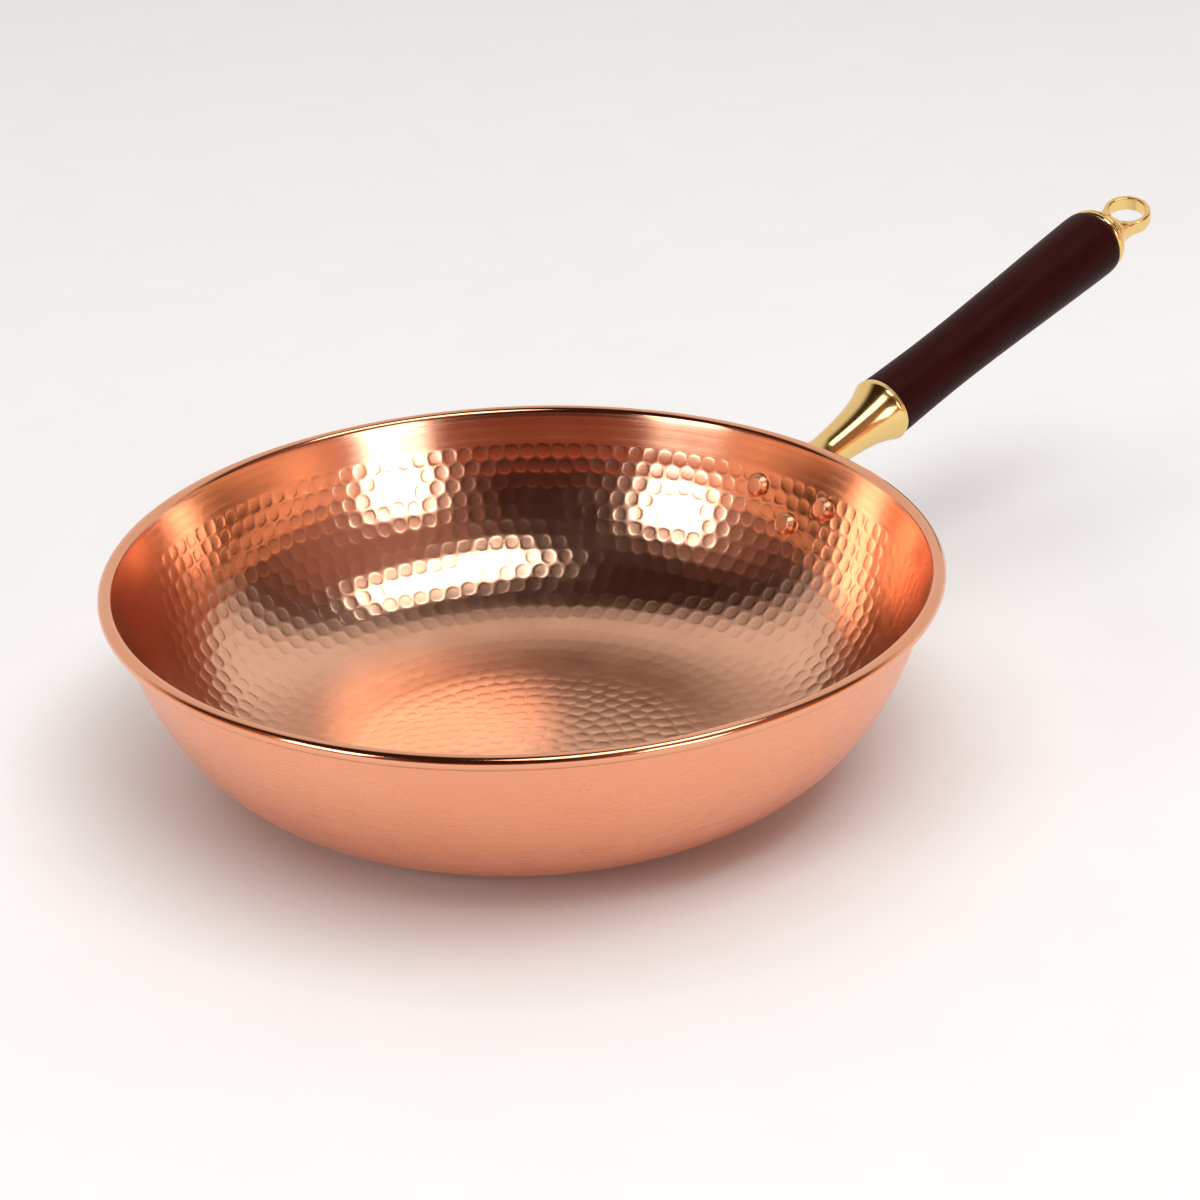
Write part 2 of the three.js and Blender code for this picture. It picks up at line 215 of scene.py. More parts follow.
def metal(name, pale, deep, roughness, spun=0.0, line=0.5, relief=0.004, floor_roughness=None):
    """Metal with a slow drift of tone, patches of duller polish and, where it was spun or brushed,
    fine lines round the bowl's axis that draw highlights out across them. A floor that is harder to
    reach with the polishing wheel can be duller than the wall."""
    material, tree = new_material(name)
    place = add_node(tree, "ShaderNodeTexCoord").outputs["Object"]
    drift = add_node(tree, "ShaderNodeTexNoise", {"Scale": per_mm(38), "Detail": 4.0}, {"Vector": place})
    tone = add_node(
        tree, "ShaderNodeMix", {6: linear(pale), 7: linear(deep)}, {0: drift.outputs["Fac"]},
        data_type="RGBA",
    )
    patches = add_node(tree, "ShaderNodeTexNoise", {"Scale": per_mm(12), "Detail": 2.0}, {"Vector": place})
    dullness = add_node(
        tree, "ShaderNodeMapRange",
        {"From Min": 0.3, "From Max": 0.7, "To Min": roughness * 0.92, "To Max": roughness * 1.1},
        {"Value": patches.outputs["Fac"]},
    )
    shader = add_node(
        tree, "ShaderNodeBsdfPrincipled",
        {"Metallic": 1.0, "Anisotropic": spun, "Anisotropic Rotation": 0.25},
        {"Base Color": tone.outputs[2], "Roughness": dullness.outputs["Result"]},
    )
    grain_place = place
    if spun:
        axes = add_node(tree, "ShaderNodeSeparateXYZ", links={0: place})
        radius = add_node(
            tree, "ShaderNodeVectorMath", {1: (1, 1, 0)}, {0: place}, operation="MULTIPLY",
        )
        away = add_node(tree, "ShaderNodeVectorMath", links={0: radius.outputs[0]}, operation="LENGTH")
        round_axis = add_node(
            tree, "ShaderNodeCombineXYZ", links={0: away.outputs["Value"], 1: axes.outputs["Z"]},
        )
        grain_place = round_axis.outputs[0]
        around = add_node(tree, "ShaderNodeTangent", direction_type="RADIAL", axis="Z")
        tree.links.new(around.outputs[0], shader.inputs["Tangent"])
    grain = add_node(
        tree, "ShaderNodeTexNoise", {"Scale": per_mm(line), "Detail": 3.0}, {"Vector": grain_place},
    )
    bump = add_node(
        tree, "ShaderNodeBump", {"Strength": 0.5, "Distance": relief * MM},
        {"Height": grain.outputs["Fac"]},
    )
    tree.links.new(bump.outputs[0], shader.inputs["Normal"])
    if spun:
        lines = add_node(
            tree, "ShaderNodeMapRange", {"From Min": 0.3, "From Max": 0.7, "To Min": 0.72, "To Max": 1.3},
            {"Value": grain.outputs["Fac"]},
        )
        lined = add_node(
            tree, "ShaderNodeMath", links={0: dullness.outputs["Result"], 1: lines.outputs["Result"]},
            operation="MULTIPLY",
        )
        tree.links.new(lined.outputs[0], shader.inputs["Roughness"])
    if floor_roughness:
        height = add_node(tree, "ShaderNodeSeparateXYZ", links={0: place})
        scuffing = add_node(
            tree, "ShaderNodeMapRange",
            {"From Min": 2 * MM, "From Max": 15 * MM, "To Min": floor_roughness / roughness, "To Max": 1.0},
            {"Value": height.outputs["Z"]}, interpolation_type="SMOOTHSTEP",
        )
        scuffed = add_node(
            tree, "ShaderNodeMath", links={0: dullness.outputs["Result"], 1: scuffing.outputs["Result"]},
            operation="MULTIPLY",
        )
        tree.links.new(scuffed.outputs[0], shader.inputs["Roughness"])
    add_node(tree, "ShaderNodeOutputMaterial", links={"Surface": shader.outputs[0]})
    return material


def lacquered_hardwood():
    """Dark red-brown hardwood under satin lacquer: long faint streaks, short dark pores, a soft sheen."""
    material, tree = new_material("lacquered_dark_hardwood")
    place = add_node(tree, "ShaderNodeTexCoord").outputs["Object"]
    along = add_node(
        tree, "ShaderNodeVectorRotate", {"Angle": HANDLE_RISE}, {"Vector": place}, rotation_type="Y_AXIS",
    )
    streak_place = add_node(
        tree, "ShaderNodeMapping", {"Scale": (per_mm(60), per_mm(2.4), per_mm(2.4))},
        {"Vector": along.outputs[0]},
    )
    streaks = add_node(
        tree, "ShaderNodeTexNoise", {"Scale": 1.0, "Detail": 6.0, "Roughness": 0.6, "Distortion": 0.6},
        {"Vector": streak_place.outputs[0]},
    )
    tone = add_node(tree, "ShaderNodeValToRGB", links={0: streaks.outputs["Fac"]})
    tone.color_ramp.elements[0].position = 0.3
    tone.color_ramp.elements[0].color = linear("#230807")
    tone.color_ramp.elements[1].position = 0.72
    tone.color_ramp.elements[1].color = linear("#300d0c")
    pore_place = add_node(
        tree, "ShaderNodeMapping", {"Scale": (per_mm(9), per_mm(0.45), per_mm(0.45))},
        {"Vector": along.outputs[0]},
    )
    pores = add_node(
        tree, "ShaderNodeTexNoise", {"Scale": 1.0, "Detail": 2.0}, {"Vector": pore_place.outputs[0]},
    )
    pits = add_node(
        tree, "ShaderNodeMapRange", {"From Min": 0.28, "From Max": 0.42}, {"Value": pores.outputs["Fac"]},
    )
    stained = add_node(
        tree, "ShaderNodeMix", {6: linear("#1c0808")},
        {0: pits.outputs["Result"], 7: tone.outputs["Color"]}, data_type="RGBA",
    )
    dullness = add_node(
        tree, "ShaderNodeMapRange", {"To Min": 0.5, "To Max": 0.4}, {"Value": pits.outputs["Result"]},
    )
    bump = add_node(
        tree, "ShaderNodeBump", {"Strength": 0.35, "Distance": 0.04 * MM},
        {"Height": pits.outputs["Result"]},
    )
    shader = add_node(
        tree, "ShaderNodeBsdfPrincipled",
        {"IOR": 1.45, "Specular IOR Level": 0.05, "Coat Weight": 0.02, "Coat Roughness": 0.35},
        {
            "Base Color": stained.outputs[2],
            "Roughness": dullness.outputs["Result"],
            "Normal": bump.outputs[0],
        },
    )
    add_node(tree, "ShaderNodeOutputMaterial", links={"Surface": shader.outputs[0]})
    return material


def pale_floor():
    """Plain matt card with a trace of unevenness."""
    material, tree = new_material("pale_matt_card")
    place = add_node(tree, "ShaderNodeTexCoord").outputs["Object"]
    fibres = add_node(tree, "ShaderNodeTexNoise", {"Scale": per_mm(40), "Detail": 3.0}, {"Vector": place})
    tone = add_node(
        tree, "ShaderNodeMix", {6: linear("#dcdddd"), 7: linear("#e0e1e1")}, {0: fibres.outputs["Fac"]},
        data_type="RGBA",
    )
    shader = add_node(
        tree, "ShaderNodeBsdfPrincipled", {"Roughness": 0.9, "Specular IOR Level": 0.1},
        {"Base Color": tone.outputs[2]},
    )
    add_node(tree, "ShaderNodeOutputMaterial", links={"Surface": shader.outputs[0]})
    return material


# Frame of the handle, from the joint that its cap turns on

cap_joint = next(joint for joint in frame["joints"] if joint["name"] == "cap_turn")
handle_axis = np.array(cap_joint["axis"]) / np.linalg.norm(cap_joint["axis"])
HANDLE_RISE = math.atan2(handle_axis[2], handle_axis[0])
eye_axis = np.array([-handle_axis[2], 0, handle_axis[0]])
handle_basis = np.stack([handle_axis, [0, 1, 0], eye_axis])
handle_start = np.array(cap_joint["pos_m"]) / MM - CAP_FOOT * handle_axis


def on_handle(points, turn=0.0):
    """Points given along, across and up from the handle's axis and turned about it, in the part's frame."""
    along, across, up = np.asarray(points, float).T
    swung = np.stack([
        along, across * math.cos(turn) - up * math.sin(turn), across * math.sin(turn) + up * math.cos(turn),
    ], axis=1)
    return swung @ handle_basis + handle_start


# Curves and meshes


def bezier(corners, steps):
    t = np.linspace(0, 1, steps)[:, None]
    rows = [np.asarray(corner, float) + 0 * t for corner in corners]
    while len(rows) > 1:
        rows = [(1 - t) * a + t * b for a, b in zip(rows, rows[1:])]
    return rows[0]


def spline(knots, steps):
    """A smooth curve through its knots."""
    knots = [np.asarray(k, float) for k in (knots[0], *knots, knots[-1])]
    t = np.linspace(0, 1, steps)[:, None]
    runs = []
    for before, start, end, after in zip(knots, knots[1:], knots[2:], knots[3:]):
        leave, arrive = (end - before) / 2, (after - start) / 2
        runs.append(
            (2 * t**3 - 3 * t**2 + 1) * start + (t**3 - 2 * t**2 + t) * leave
            + (3 * t**2 - 2 * t**3) * end + (t**3 - t**2) * arrive
        )
    return np.concatenate(runs)


def arc(centre, radius, start, end, steps):
    turn = np.linspace(start, end, steps)
    return np.asarray(centre) + radius * np.stack([np.cos(turn), np.sin(turn)], axis=1)


def eased(corners, reaches, steps=6):
    """A line with each corner rounded off, starting at its given reach on both sides."""
    corners = [np.asarray(corner, float) for corner in corners]
    line = [corners[0]]
    for before, corner, after, reach in zip(corners, corners[1:], corners[2:], reaches[1:]):
        if not reach:
            line.append(corner)
            continue
        start = corner + (before - corner) * reach / np.linalg.norm(before - corner)
        end = corner + (after - corner) * reach / np.linalg.norm(after - corner)
        line.extend(bezier([start, corner, end], steps))
    line.append(corners[-1])
    return np.array(line)


def grid_faces(rows, columns, first=0, closed_rows=False):
    """Quads between neighbouring rows of points, each row running once round."""
    faces = []
    for i in range(rows if closed_rows else rows - 1):
        low, high = first + i * columns, first + (i + 1) % rows * columns
        for j in range(columns):
            k = (j + 1) % columns
            faces.append((low + j, low + k, high + k, high + j))
    return faces


def turned(profile, sides, closed=False):
    """A profile of radius and height, turned about +Z."""
    radius, height = np.asarray(profile, float).T
    turn = np.linspace(0, 2 * np.pi, sides, endpoint=False)
    level = np.outer(height, np.ones(sides))
    points = np.stack([np.outer(radius, np.cos(turn)), np.outer(radius, np.sin(turn)), level], axis=2)
    return points.reshape(-1, 3), grid_faces(len(radius), sides, closed_rows=closed)


def turned_on_handle(profile, sides, closed=False):
    points, faces = turned(profile, sides, closed)
    return on_handle(points[:, [2, 0, 1]]), faces


def shape(name, points, faces, weld=0.002):
    """An object from points in millimetres, with points closer than the weld made one."""
    mesh = bpy.data.meshes.new(name)
    mesh.from_pydata((np.asarray(points) * MM).tolist(), [], faces)
    made = bpy.data.objects.new(name, mesh)
    bpy.context.scene.collection.objects.link(made)
    tidy_mesh(mesh, weld)
    return made


def tidy_mesh(mesh, weld):
    work = bmesh.new()
    work.from_mesh(mesh)
    bmesh.ops.remove_doubles(work, verts=work.verts, dist=weld * MM)
    bmesh.ops.recalc_face_normals(work, faces=work.faces)
    work.to_mesh(mesh)
    work.free()


def bake_modifiers(piece):
    """Makes the modifiers' result the piece's own mesh."""
    bpy.context.view_layer.update()
    result = bpy.data.meshes.new_from_object(piece.evaluated_get(bpy.context.evaluated_depsgraph_get()))
    piece.modifiers.clear()
    piece.data = result


def carve(piece, tool, operation):
    cut = piece.modifiers.new("cut", "BOOLEAN")
    cut.object = tool
    cut.operation = operation
    cut.solver = "EXACT"
    bake_modifiers(piece)
    bpy.data.objects.remove(tool)


def finish_piece(piece, body, finishes, nodes, sharp=40):
    """Dresses a piece, smooths its shading apart from edges sharper than given, and sets what
    it stands for."""
    mesh = piece.data
    if len(finishes) == 1:
        mesh.materials.clear()
        mesh.polygons.foreach_set("material_index", [0] * len(mesh.polygons))
    for finish in finishes:
        mesh.materials.append(finish)
    mesh.polygons.foreach_set("use_smooth", [True] * len(mesh.polygons))
    mesh.set_sharp_from_angle(angle=math.radians(sharp))
    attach(piece, body)
    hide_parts(*nodes)


# Wall of the bowl

CURL_RADIUS = WIRE_RADIUS + FIT
BEAD_RADIUS = CURL_RADIUS + SHEET
bead_centre = np.array([RIM_RADIUS - BEAD_RADIUS, RIM_HEIGHT - BEAD_RADIUS])
up_the_rim = np.array([math.cos(RIM_SLOPE), math.sin(RIM_SLOPE)])
wall_top = bead_centre + CURL_RADIUS * np.array([-up_the_rim[1], up_the_rim[0]])
wall = bezier(
    [(BASE_RADIUS, 0), (BASE_RADIUS + BASE_EASE, 0), wall_top - RIM_EASE * up_the_rim, wall_top],
    WALL_STEPS + 1,
)
wall_index = np.arange(WALL_STEPS + 1)
wall_run = np.gradient(wall, axis=0)
wall_run /= np.linalg.norm(wall_run, axis=1)[:, None]
wall_normal = np.stack([wall_run[:, 1], -wall_run[:, 0]], axis=1)
wall_inside = wall - SHEET * wall_normal
wall_length = np.concatenate([[0], np.cumsum(np.linalg.norm(np.diff(wall, axis=0), axis=1))])

# The inside as one line from the middle of the floor to the rim: radius, height, normal and distance run
floor_radius = np.linspace(0, BASE_RADIUS, FLOOR_STEPS, endpoint=False)
floor_line = np.stack([floor_radius, np.full(FLOOR_STEPS, SHEET)], axis=1)
inside = np.concatenate([floor_line, wall_inside])
inside_normal = np.concatenate([np.tile([0.0, -1.0], (FLOOR_STEPS, 1)), wall_normal])
inside_steps = np.linalg.norm(np.diff(inside, axis=0), axis=1)
inside_run = np.concatenate([[0], np.cumsum(inside_steps)])

# The same line on a flat map that keeps angles, so that round marks laid out on the map are round
# on the bowl
middle_radius = (inside[1:, 0] + inside[:-1, 0]) / 2
growth = np.cumsum((inside_steps / middle_radius)[FLOOR_STEPS:])
map_radius = np.concatenate([inside[:FLOOR_STEPS + 1, 0], inside[FLOOR_STEPS, 0] * np.exp(growth)])


def from_map(places, rises):
    """Points of the bowl's inside for places on the map, each raised from the sheet by its rise."""
    away = np.hypot(places[:, 0], places[:, 1])
    turn = np.arctan2(places[:, 1], places[:, 0])
    radius, height, out, up = (
        np.interp(away, map_radius, column) for column in (*inside.T, *inside_normal.T)
    )
    radius = radius - out * rises
    return np.stack([radius * np.cos(turn), radius * np.sin(turn), height - up * rises], axis=1)


def mark_normals(places, rays, tilts):
    """Normals of the bowl's inside at places on the map, each leaning out along its ray by its tilt."""
    away = np.maximum(np.hypot(places[:, 0], places[:, 1]), TINY)
    outwards = places / away[:, None]
    out, up = (np.interp(away, map_radius, column) for column in inside_normal.T)
    climb = -(rays * outwards).sum(axis=1) * np.tan(tilts)
    swing = -(outwards[:, 0] * rays[:, 1] - outwards[:, 1] * rays[:, 0]) * np.tan(tilts)
    level = -out + climb * up
    normals = np.stack([
        level * outwards[:, 0] + swing * outwards[:, 1],
        level * outwards[:, 1] - swing * outwards[:, 0],
        -up - climb * out,
    ], axis=1)
    return normals / np.linalg.norm(normals, axis=1)[:, None]


# Hammer marks

hammered_run = np.interp(HAMMERED_TOP, wall_inside[:, 1], inside_run[FLOOR_STEPS:])
map_top = np.interp(hammered_run, inside_run, map_radius)


def mark_spacing(run):
    share = np.clip((run - MARKS_SHRINK_FROM) / (hammered_run - MARKS_SHRINK_FROM), 0, 1)
    return FLOOR_MARK + (TOP_MARK - FLOOR_MARK) * share


def mark_places():
    """Rows of marks from the top row to the middle, on the map, each row begun where chance puts it."""
    chance = np.random.default_rng(HAMMER_SEED)
    places = []
    run = hammered_run - TOP_ROW_INSET * TOP_MARK
    row = 0
    while run > FLOOR_MARK / 2:
        radius = np.interp(run, inside_run, inside[:, 0])
        away = np.interp(run, inside_run, map_radius)
        spacing = mark_spacing(run)
        count = round(2 * math.pi * radius / spacing)
        turn = (np.arange(count) + chance.uniform()) * 2 * math.pi / count
        stray = chance.normal(0, MARK_SCATTER * spacing * away / radius, (count, 2))
        if row == 0:
            top_count = count
            stray *= 0
        places.append(away * np.stack([np.cos(turn), np.sin(turn)], axis=1) + stray)
        run -= ROW_STEP * spacing
        row += 1
    places.append(np.zeros((1, 2)))
    return np.concatenate(places), top_count


def mark_outline(place, others, reach):
    """The patch of map that lies nearer to one mark than to its neighbours."""
    outline = place + reach * np.array([(-1, -1), (1, -1), (1, 1), (-1, 1)])
    for other in others:
        side = (outline - (place + other) / 2) @ (other - place)
        if (side <= 0).all():
            continue
        kept = []
        for i in range(len(outline)):
            j = (i + 1) % len(outline)
            if side[i] <= 0:
                kept.append(outline[i])
            if (side[i] <= 0) != (side[j] <= 0):
                kept.append(outline[i] + (outline[j] - outline[i]) * side[i] / (side[i] - side[j]))
        outline = np.array(kept)
    return outline


def mark_outlines(places, top_count):
    """Outlines of all marks. Marks mirrored past the top row end it on an even line."""
    top = places[:top_count]
    mirrored = top * (map_top / np.hypot(top[:, 0], top[:, 1]))[:, None] ** 2
    everything = np.concatenate([places, mirrored])
    outlines = []
    for place in places:
        gap = np.hypot(*(everything - place).T)
        near = np.argsort(gap)[1:NEIGHBOURS + 1]
        outlines.append(mark_outline(place, everything[near], gap[near[-1]]))
    return outlines


def patch_middle(outline):
    following = np.roll(outline, -1, axis=0)
    cross = outline[:, 0] * following[:, 1] - outline[:, 1] * following[:, 0]
    return (cross[:, None] * (outline + following)).sum(axis=0) / (3 * cross.sum())


def mark_mesh(place, outline, first):
    """One mark: its points on the map with their rises, leans and tilts, its faces and its border."""
    following = np.roll(outline, -1, axis=0)
    border = np.stack([outline, (outline + following) / 2], axis=1).reshape(-1, 2)
    lengths = np.linalg.norm(following - outline, axis=1)
    real = lengths > SHORTEST_SIDE
    along = (following - outline)[real] / lengths[real, None]
    off = (place - outline)[real]
    reach = np.abs(off[:, 0] * along[:, 1] - off[:, 1] * along[:, 0]).min()
    away = max(np.hypot(*place), TINY)
    strength = np.interp(np.interp(away, map_radius, inside_run), MARK_STRENGTH_AT, MARK_STRENGTH)
    scale = np.interp(away, map_radius, inside[:, 0]) / away if away > BASE_RADIUS else 1.0
    rise = MARK_RISE * strength * reach * scale
    tilt = MARK_EDGE_TILT * strength
    count = len(border)
    out_to = np.linalg.norm(border - place, axis=1)[:, None]
    rays = (border - place) / out_to
    edge_at = reach + MARK_SQUARENESS * (out_to - reach)
    rings = [place + rays * edge_at * share for share, _, _ in MARK_RINGS]
    points = np.concatenate([place[None], *rings, border])
    rises = [rise] + [rise * raised for _, raised, _ in MARK_RINGS for _ in rays] + [0.0] * count
    tilts = [0.0] + [tilt * lean for _, _, lean in MARK_RINGS for _ in rays] + [0.0] * count
    leans = np.concatenate([rays[:1], *[rays] * (len(MARK_RINGS) + 1)])
    faces = [(first, first + 1 + j, first + 1 + (j + 1) % count) for j in range(count)]
    faces += grid_faces(len(MARK_RINGS) + 1, count, first + 1)
    return points, rises, leans, tilts, faces, border


def hammered_mesh():
    """Points, normals and faces of all marks, and the places along their upper edge, by their turn."""
    places, top_count = mark_places()
    for _ in range(EVENING_ROUNDS):
        outlines = mark_outlines(places, top_count)
        middles = np.array([patch_middle(outline) for outline in outlines])
        places[top_count:] += EVENING_SHARE * (middles - places)[top_count:]
    marks, faces, edge = [], [], {}
    first = 0
    edge_from = map_top * (1 - EDGE_DEPTH * TOP_MARK / inside[-1, 0])
    for place, outline in zip(places, mark_outlines(places, top_count)):
        *mark, mark_faces, border = mark_mesh(place, outline, first)
        marks.append(mark)
        faces.extend(mark_faces)
        first += len(mark[0])
        on_edge = np.hypot(border[:, 0], border[:, 1]) > edge_from
        for point in border[on_edge]:
            edge[round(math.atan2(point[1], point[0]), 6)] = point
    points, rises, leans, tilts = (np.concatenate(column) for column in zip(*marks))
    return from_map(points, rises), mark_normals(points, leans, tilts), faces, edge


def rim_profile():
    """Smooth band, rolled rim, its hem and the outside down to the middle of the base, with the finish
    of each ring."""
    curl_start = math.pi / 2 + RIM_SLOPE
    curl_end = curl_start - 2 * math.pi + math.acos((CURL_RADIUS - CURL_MOUTH) / BEAD_RADIUS)
    band_start = np.searchsorted(wall_inside[:, 1], HAMMERED_TOP + BAND_GAP)
    band = wall_inside[np.linspace(band_start, WALL_STEPS, BAND_RINGS).astype(int)]
    bead = arc(bead_centre, BEAD_RADIUS, curl_start, curl_end, steps=24)[1:]
    hem = arc(bead_centre, CURL_RADIUS, curl_end, curl_start, steps=9)
    outside = wall[np.linspace(WALL_STEPS, 0, OUTSIDE_RINGS).astype(int)][1:]
    base = np.array([(BASE_RADIUS - BASE_RING, 0), (BASE_RADIUS / 2, 0), (0, 0)])
    satin = len(hem) + len(outside) + len(base)
    finishes = [BRUSHED] * len(band) + [BURNISHED] * len(bead) + [SPUN] * satin
    return np.concatenate([band, bead, hem, outside, base]), finishes


def bowl_mesh():
    """Points, normals, faces and finish of each face: hammered inside, smooth band, rolled rim, outside.
    The columns of the hammered edge run on up the band, over the rim and down the outside."""
    points, normals, faces, edge = hammered_mesh()
    finish = [HAMMERED] * len(faces)
    turns = sorted(edge)
    edge = np.array([edge[turn] for turn in turns])
    rims = from_map(edge, np.zeros(len(turns)))
    profile, ring_finishes = rim_profile()
    turn = np.array(turns)
    rows = np.stack(
        [np.outer(profile[:, 0], np.cos(turn)), np.outer(profile[:, 0], np.sin(turn)),
         np.outer(profile[:, 1], np.ones(len(turn)))], axis=2,
    ).reshape(-1, 3)
    faces.extend(grid_faces(len(profile) + 1, len(turns), len(points)))
    finish.extend(np.repeat(ring_finishes, len(turns)).tolist())
    points = np.concatenate([points, rims, rows])
    normals = np.concatenate([normals, mark_normals(edge, edge, np.zeros(len(edge))), np.zeros_like(rows)])
    return points, normals, faces, finish


def make_bowl():
    points, normals, faces, finish = bowl_mesh()
    mesh = bpy.data.meshes.new("copper_bowl")
    mesh.from_pydata((points * MM).tolist(), [], faces)
    mesh.polygons.foreach_set("material_index", finish)
    kept = mesh.attributes.new("mark_normal", "FLOAT_VECTOR", "POINT")
    kept.data.foreach_set("vector", normals.ravel())
    tidy_mesh(mesh, BOWL_WELD)
    bowl = bpy.data.objects.new("copper_bowl", mesh)
    bpy.context.scene.collection.objects.link(bowl)
    finishes = [HAMMERED_COPPER, BRUSHED_COPPER, BURNISHED_COPPER, SPUN_COPPER]
    finish_piece(bowl, "pan", finishes, ["bowl"], sharp=60)
    normals = np.zeros(3 * len(mesh.vertices))
    mesh.attributes["mark_normal"].data.foreach_get("vector", normals)
    mesh.attributes.remove(mesh.attributes["mark_normal"])
    mesh.normals_split_custom_set_from_vertices(normals.reshape(-1, 3).tolist())


# Rivets, bracket and handle


def wall_at_drop(drop):
    return np.interp(RIM_HEIGHT - drop, wall_inside[:, 1], wall_index)


upper_place, lower_place = wall_at_drop(UPPER_RIVET_DROP), wall_at_drop(LOWER_RIVET_DROP)


def wall_value(table, place):
    return np.array([np.interp(place, wall_index, column) for column in table.T])


upper_turn = math.asin(RIVET_SPREAD / 2 / wall_value(wall_inside, upper_place)[0])
RIVETS = {
    "rivet_upper_left": (upper_place, upper_turn),
    "rivet_upper_right": (upper_place, -upper_turn),
    "rivet_lower": (lower_place, 0.0),
}
OUTER_FACE = SHEET + SEAT + PLATE


def on_rivet(points, place, turn):
    """Points of a rivet, whose own +Z runs outwards from the inside of the wall."""
    out, up = wall_value(wall_normal, place)
    radius, height = wall_value(wall_inside, place)
    stand = Matrix.Rotation(turn, 4, "Z") @ Matrix.Translation((radius, 0, height))
    stand = np.array(stand @ Matrix.Rotation(math.atan2(out, up), 4, "Y"))
    return np.asarray(points) @ stand[:3, :3].T + stand[:3, 3]


def make_rivets():
    """Set rivets: a low head with a flat top inside the bowl and a domed tail on the bracket."""
    tail_seat = OUTER_FACE + SEAT
    dome_radius = (TAIL_RADIUS**2 + TAIL_HEIGHT**2) / (2 * TAIL_HEIGHT)
    dome_middle = tail_seat + TAIL_HEIGHT - dome_radius
    dome_start = math.asin((tail_seat - dome_middle) / dome_radius)
    top = -SEAT - HEAD_HEIGHT
    side = -SEAT - HEAD_RIM
    head = eased(
        [(0, top), (HEAD_TOP_RADIUS, top), (HEAD_RADIUS, side), (HEAD_RADIUS, SHEET / 3),
         (SHANK_RADIUS, SHEET / 3), (SHANK_RADIUS, OUTER_FACE), (TAIL_RADIUS, OUTER_FACE - SEAT / 2),
         (TAIL_RADIUS, tail_seat)],
        [0, HEAD_EASE, HEAD_EASE, 0, 0, 0, 0],
    )
    tail = arc((0, dome_middle), dome_radius, dome_start, math.pi / 2, steps=10)
    points, faces = turned(np.concatenate([head, tail[1:]]), sides=48)
    for name, (place, turn) in RIVETS.items():
        rivet = shape("copper_" + name, on_rivet(points, place, turn), faces)
        finish_piece(rivet, "pan", [RIVET_COPPER], [name])


def plate_mesh():
    """The plate under the neck: a triangle with round corners and eased edges that lies on the wall."""
    corners = []
    for name in ("rivet_lower", "rivet_upper_left", "rivet_upper_right"):
        place, turn = RIVETS[name]
        corners.append((wall_value(wall, place)[0] * turn, np.interp(place, wall_index, wall_length)))
    corners = np.array(corners)
    outline = []
    for before, corner, after in zip(np.roll(corners, 1, axis=0), corners, np.roll(corners, -1, axis=0)):
        way_in, way_out = corner - before, after - corner
        start = math.atan2(way_in[1], way_in[0]) - math.pi / 2
        end = math.atan2(way_out[1], way_out[0]) - math.pi / 2
        outline.append(arc(corner, PLATE_MARGIN, start, start + (end - start) % (2 * math.pi), steps=14))
    outline = np.concatenate(outline + [outline[0][:1]])
    lengths = np.concatenate([[0], np.cumsum(np.linalg.norm(np.diff(outline, axis=0), axis=1))])
    even = np.linspace(0, lengths[-1], PLATE_POINTS, endpoint=False)
    outline = np.stack([np.interp(even, lengths, column) for column in outline.T], axis=1)
    middle = corners.mean(axis=0)
    rise = arc((0, SEAT + PLATE - PLATE_EASE), PLATE_EASE, 0, math.pi / 2, steps=6)
    rows = [(0.0, 0.0, SEAT), (0.5, 0.0, SEAT), (1.0, 0.0, SEAT)]
    rows += [(1.0, PLATE_EASE - across, up) for across, up in rise]
    rows += [(share, PLATE_EASE, SEAT + PLATE) for share in (0.75, 0.5, 0.25)]
    rows += [(0.0, 0.0, SEAT + PLATE)]
    points = []
    for share, draw_in, out in rows:
        spokes = outline - middle
        reach = np.linalg.norm(spokes, axis=1)[:, None]
        across, along = (middle + spokes * share * (1 - draw_in / reach)).T
        at = np.interp(along, wall_length, wall_index)
        base, normal = (
            np.stack([np.interp(at, wall_index, column) for column in table.T])
            for table in (wall, wall_normal)
        )
        radius, height = base + normal * out
        turn = across / base[0]
        points.append(np.stack([radius * np.cos(turn), radius * np.sin(turn), height], axis=1))
    return np.concatenate(points), grid_faces(len(rows), len(outline))


